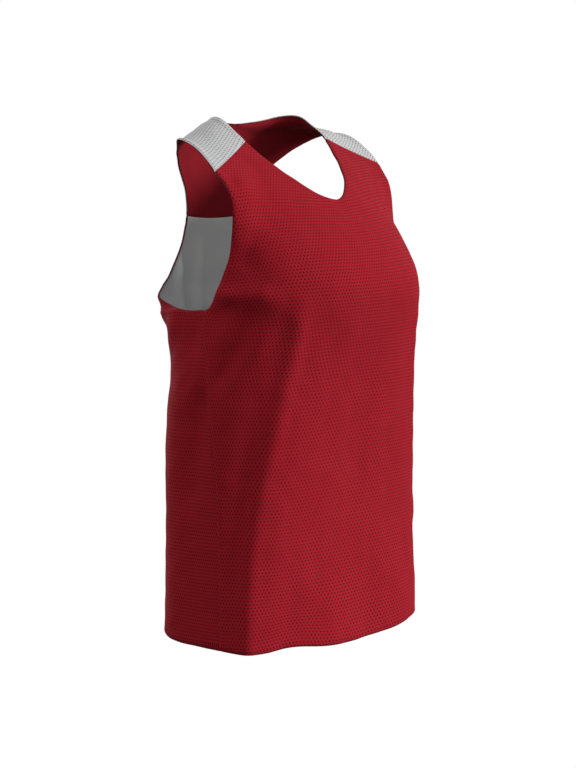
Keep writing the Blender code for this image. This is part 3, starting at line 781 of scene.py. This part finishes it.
def addCloth(name, mesh, node, material):
    # the sheet is the ply's outer face, and the thickness goes inwards
    piece = bpy.data.objects.new(name, mesh)
    bpy.context.scene.collection.objects.link(piece)
    mesh.materials.append(material)
    ply = piece.modifiers.new("ply", "SOLIDIFY")
    ply.thickness = garment["wall"]
    ply.offset = -1.0
    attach(piece, "root")
    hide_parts(node)
    return piece


class Wire:
    # a shader socket that takes part in Python sums
    def __init__(self, nodes, end):
        self.nodes, self.end = nodes, end

    def __add__(self, other):
        return self.nodes.maths("ADD", self, other)

    def __radd__(self, other):
        return self.nodes.maths("ADD", other, self)

    def __sub__(self, other):
        return self.nodes.maths("SUBTRACT", self, other)

    def __rsub__(self, other):
        return self.nodes.maths("SUBTRACT", other, self)

    def __mul__(self, other):
        return self.nodes.maths("MULTIPLY", self, other)

    def __rmul__(self, other):
        return self.nodes.maths("MULTIPLY", other, self)

    def __truediv__(self, other):
        return self.nodes.maths("DIVIDE", self, other)

    def __rtruediv__(self, other):
        return self.nodes.maths("DIVIDE", other, self)


class Nodes:
    # the nodes of a material or a world, and the one way they are made
    def __init__(self, owner):
        owner.use_nodes = True
        self.owner, self.tree = owner, owner.node_tree

    def add(self, kind, settings, sockets, out=0):
        node = self.tree.nodes.new(kind)
        for key, value in settings.items():
            setattr(node, key, value)
        self.feed(node, sockets)
        return Wire(self, node.outputs[out])

    def feed(self, node, sockets):
        for key, value in sockets.items():
            if isinstance(value, Wire):
                self.tree.links.new(value.end, node.inputs[key])
            else:
                node.inputs[key].default_value = value

    def maths(self, operation, *values):
        return self.add("ShaderNodeMath", {"operation": operation}, dict(enumerate(values)))

    def blend(self, amount, low, high):
        # 6 and 7 are the Mix node's colours, and 2 is the colour it gives
        return self.add("ShaderNodeMix", {"data_type": "RGBA"}, {0: amount, 6: low, 7: high}, out=2)

    def ramp(self, value, low, high, toLow=0.0, toHigh=1.0):
        # from toLow at low to toHigh at high, with soft ends
        return self.add("ShaderNodeMapRange", {"interpolation_type": "SMOOTHSTEP"},
                        {0: value, 1: low, 2: high, 3: toLow, 4: toHigh})


knit = {
    "perMetre": 238.0,       # dots in a metre of a row
    "bellyPerMetre": 161.0,  # fewer where the knit is drawn wide over the belly,
    "bellyGather": 1150.0,   # and more again towards the side seams
    "bellyTop": (0.30, 0.43),
    "rowGap": 0.00403,       # between rows, which are staggered
    "dotWidth": 0.0046,      # a dot's own share of its row
    "dotRadius": 0.00091,
    "dotSoft": 0.00034,      # how softly its rim ends, and how far it wanders
    "dotWander": 0.0003,
    "wale": 0.00105,         # the fine ribs of the knit, and a whole wave of them
    "course": 0.00085,
    "wave": 6.2832,
    "ribHeight": 0.18,       # heights are shares of a dot's depth
    "fuzzHeight": 0.25,
    "reliefStrength": 0.45,
    "reliefDepth": 0.0005,
    "tone": {"Scale": 14.0, "Detail": 3.0},       # broad unevenness of the dye
    "fuzz": {"Scale": 900.0, "Detail": 2.0},
    "toneSpan": (0.35, 0.70),
    "edgeShadingSpan": (0.0004, 0.0018),                 # metres from a turned edge, over which its painted shade dies out, and from a seam, over which its own colour dies out
    "seamSpan": (0.0002, 0.0009),                 # over which its own colour dies out
    "roughness": (0.3, 0.7, 0.78, 0.88),          # a span of tone and what it becomes
    "specular": 0.03,
    "sheenRoughness": 0.5,
}
# cloth and deep are the dye's two tones, and drawn says that the dots spread over the belly. The
# dots are the mesh's holes, coloured with painted shade.
# edge is the colour painted along the turned edges. It is mostly painted shade of their roll and
# partly the edge's own darker red: dark on the red mesh and on both inner plies. On the white yoke
# it is lighter than the cloth.
redMesh = {"cloth": (0.253, 0.0086, 0.0160, 1), "deep": (0.240, 0.0080, 0.0148, 1),
           "shadedHole": (0.032, 0.0018, 0.0030, 1), "drawn": True,
           "edge": (0.090, 0.0040, 0.0070, 1), "edgeShadingAmount": 0.80,
           "seam": (0.300, 0.0220, 0.0330, 1), "seamAmount": 0.35, "sheen": 0.01}
whiteMesh = {"cloth": (0.390, 0.390, 0.390, 1), "deep": (0.371, 0.372, 0.373, 1),
             "shadedHole": (0.088, 0.089, 0.092, 1), "drawn": False,
             "edge": (0.500, 0.490, 0.490, 1), "edgeShadingAmount": 0.30,
             "seam": (0.300, 0.220, 0.222, 1), "seamAmount": 0.50, "sheen": 0.01}
whiteInner = {"cloth": (0.480, 0.492, 0.486, 1), "deep": (0.462, 0.474, 0.468, 1), "shadedHole": None,
              "edge": (0.090, 0.0040, 0.0070, 1), "edgeShadingAmount": 0.85,
              "seam": (0.300, 0.290, 0.290, 1), "seamAmount": 0.40, "sheen": 0.01}
redInner = {"cloth": (0.185, 0.0080, 0.0134, 1), "deep": (0.175, 0.0074, 0.0125, 1), "shadedHole": None,
            "edge": (0.085, 0.0040, 0.0068, 1), "edgeShadingAmount": 0.70,
            "seam": (0.140, 0.0060, 0.0100, 1), "seamAmount": 0.40, "sheen": 0.01}


def holeMask(finish, look, across, up, tone):
    # 1 inside a dot and 0 between the dots, which stand in staggered rows. The dots are the mesh's
    # holes, and the colour they get is painted shade.
    row = up / knit["rowGap"]
    odd = finish.maths("FLOORED_MODULO", finish.maths("FLOOR", row), 2.0)
    column = across * knit["perMetre"]
    if look["drawn"]:
        belly = across * knit["bellyPerMetre"] + across * across * across * knit["bellyGather"]
        column = belly + (column - belly) * finish.ramp(up, *knit["bellyTop"])
    aside = (finish.maths("FRACT", column + odd * 0.5) - 0.5) * knit["dotWidth"]
    above = (finish.maths("FRACT", row) - 0.5) * knit["rowGap"]
    away = finish.maths("SQRT", aside * aside + above * above)
    return finish.ramp(away + (tone - 0.5) * knit["dotWander"],
                       knit["dotRadius"] - knit["dotSoft"], knit["dotRadius"] + knit["dotSoft"],
                       1.0, 0.0)


def clothFinish(name, look):
    finish = Nodes(bpy.data.materials.new(name))
    cut = finish.add("ShaderNodeUVMap", {"uv_map": "cut"}, {})
    across = finish.add("ShaderNodeSeparateXYZ", {}, {"Vector": cut}, out="X")
    up = finish.add("ShaderNodeSeparateXYZ", {}, {"Vector": cut}, out="Y")
    sewnAway = finish.add("ShaderNodeAttribute", {"attribute_name": "sewnAway"}, {}, out="Fac")
    turnedAway = finish.add("ShaderNodeAttribute", {"attribute_name": "turnedAway"}, {}, out="Fac")
    tone = finish.add("ShaderNodeTexNoise", {}, dict(knit["tone"], Vector=cut))
    fuzz = finish.add("ShaderNodeTexNoise", {}, dict(knit["fuzz"], Vector=cut))
    colour = finish.blend(finish.ramp(tone, *knit["toneSpan"]), look["cloth"], look["deep"])
    ribs = finish.maths("SINE", across / knit["wale"] * knit["wave"])
    rungs = finish.maths("SINE", up / knit["course"] * knit["wave"])
    height = ribs * rungs * knit["ribHeight"] + fuzz * knit["fuzzHeight"]
    # the holes take painted shade as their colour, and sink in the relief
    if look["shadedHole"]:
        shadedHole = holeMask(finish, look, across, up, tone)
        colour = finish.blend(shadedHole, colour, look["shadedHole"])
        height = height - shadedHole
    # painted shade along the turned edges, and the seams' own colour
    edgeShading = finish.ramp(turnedAway, *knit["edgeShadingSpan"], look["edgeShadingAmount"], 0.0)
    nearSeam = finish.ramp(sewnAway, *knit["seamSpan"], look["seamAmount"], 0.0)
    colour = finish.blend(edgeShading, colour, look["edge"])
    colour = finish.blend(nearSeam, colour, look["seam"])
    relief = finish.add("ShaderNodeBump", {}, {
        "Strength": knit["reliefStrength"], "Distance": knit["reliefDepth"], "Height": height})
    finish.feed(finish.tree.nodes["Principled BSDF"], {
        "Base Color": colour, "Normal": relief, "Metallic": 0.0,
        "Roughness": finish.ramp(tone, *knit["roughness"]),
        "Specular IOR Level": knit["specular"], "Sheen Weight": look["sheen"],
        "Sheen Roughness": knit["sheenRoughness"]})
    return finish.owner


finishes = {
    "red_mesh": clothFinish("redMeshKnit", redMesh),
    "white_mesh": clothFinish("whiteMeshKnit", whiteMesh),
    "white_inner": clothFinish("whiteInnerKnit", whiteInner),
    "red_inner": clothFinish("redInnerKnit", redInner),
}
print("finishes made")

pieces = {
    "frontCloth": {"panel": "front", "ply": "outer", "node": "front", "slot": "red_mesh"},
    "backCloth": {"panel": "back", "ply": "outer", "node": "back", "slot": "red_mesh"},
    "yokeCloth": {"panel": "yoke", "ply": "outer", "node": "yoke", "slot": "white_mesh"},
    "innerFrontCloth": {"panel": "front", "ply": "inner", "node": "lining_front",
                        "slot": "white_inner"},
    "innerBackCloth": {"panel": "back", "ply": "inner", "node": "lining_back",
                       "slot": "white_inner"},
    "innerYokeCloth": {"panel": "yoke", "ply": "inner", "node": "lining_yoke",
                       "slot": "red_inner"},
}


def makePieces():
    cloth = wholeCloth()
    dressed = {}
    for panel, plan in panels.items():
        half = finePanel(cloth, plan)
        sewn, turned = edgeLines(half, plan)
        half["sewn"] = [lineDistance(half["points"], line) for line in sewn]
        half["turned"] = {name: lineDistance(half["points"], line) for name, line in turned.items()}
        sides = {side: dressedSide(half, plan, panel, side) for side in (1, -1)}
        flat, area = flatSize(sides)
        dressed[panel] = (sides, half["joined"], flat, area)
        print(panel, "cut", [round(size, 3) for size in flat], "m,", round(area, 4), "m2")
    for name, piece in pieces.items():
        sides, joined, flat, area = dressed[piece["panel"]]
        mesh = clothMesh(name, sides, joined, piece["ply"])
        addCloth(name, mesh, piece["node"], finishes[piece["slot"]])
        print(name, len(mesh.polygons), "faces")


makePieces()

studio = {
    "floorDrop": 0.85, "floorSize": 3.4,
    "paper": {"Base Color": (0.90, 0.90, 0.90, 1), "Roughness": 0.9, "Specular IOR Level": 0.1},
    "sunDistance": 2.0,
    "suns": {"keyLight": {"azimuth": 32.0, "elevation": 5.0, "softness": 20.0, "power": 3.85},
             "topLight": {"azimuth": 0.0, "elevation": 88.0, "softness": 168.0, "power": 2.75},
             "sideLight": {"azimuth": -122.0, "elevation": 34.0, "softness": 34.0, "power": 0.45},
             "backLight": {"azimuth": 165.0, "elevation": 12.0, "softness": 30.0, "power": 1.2}},
    "white": (1, 1, 1, 1), "fill": 0.09, "seen": 1.0,     # what lights the cloth, and what shows
}
photo = {"azimuth": -50.0, "elevation": 7.0, "distance": 3.2, "focalPixels": 2640.0,
         "target": (0.0, -0.047, -0.311), "height": 768, "sensor": 36.0}


def direction(azimuth, elevation):
    # azimuth 0 is in front of the wearer, and 90 on the wearer's left
    a, e = math.radians(azimuth), math.radians(elevation)
    return Vector((math.sin(a) * math.cos(e), -math.cos(a) * math.cos(e), math.sin(e)))


def aimed(thing, place, target):
    thing.location = place
    thing.rotation_euler = (Vector(target) - Vector(place)).to_track_quat("-Z", "Y").to_euler()
    bpy.context.scene.collection.objects.link(thing)


def addSun(name, sun):
    light = bpy.data.lights.new(name, "SUN")
    light.angle = math.radians(sun["softness"])
    light.energy = sun["power"]
    away = direction(sun["azimuth"], sun["elevation"]) * studio["sunDistance"]
    place = Vector(photo["target"]) + away
    aimed(bpy.data.objects.new(name, light), place, photo["target"])


def addStudio():
    world = bpy.data.worlds.new("studio")
    bpy.context.scene.world = world
    walls = Nodes(world)
    lit, shown = (walls.add("ShaderNodeBackground", {},
                            {"Color": studio["white"], "Strength": studio[strength]})
                  for strength in ("fill", "seen"))
    toCamera = walls.add("ShaderNodeLightPath", {}, {}, out="Is Camera Ray")
    mixed = walls.add("ShaderNodeMixShader", {}, {0: toCamera, 1: lit, 2: shown})
    walls.feed(walls.tree.nodes["World Output"], {"Surface": mixed})

    below = cadBox[0].z - studio["floorDrop"]
    bpy.ops.mesh.primitive_plane_add(size=studio["floorSize"], location=(0, 0, below))
    floor = bpy.context.object
    floor.name = "floor"
    floor.visible_diffuse = False       # no light bounces up from it on to the cloth
    paper = Nodes(bpy.data.materials.new("paper"))
    paper.feed(paper.tree.nodes["Principled BSDF"], studio["paper"])
    floor.data.materials.append(paper.owner)
    for name, sun in studio["suns"].items():
        addSun(name, sun)


def addCamera():
    lens = bpy.data.cameras.new("camera")
    lens.sensor_width = photo["sensor"]
    lens.lens = photo["focalPixels"] * photo["sensor"] / photo["height"]
    camera = bpy.data.objects.new("camera", lens)
    away = direction(photo["azimuth"], photo["elevation"]) * photo["distance"]
    aimed(camera, Vector(photo["target"]) + away, photo["target"])
    bpy.context.scene.camera = camera


addStudio()
addCamera()
bpy.context.scene.view_settings.view_transform = "Standard"
print("studio set")
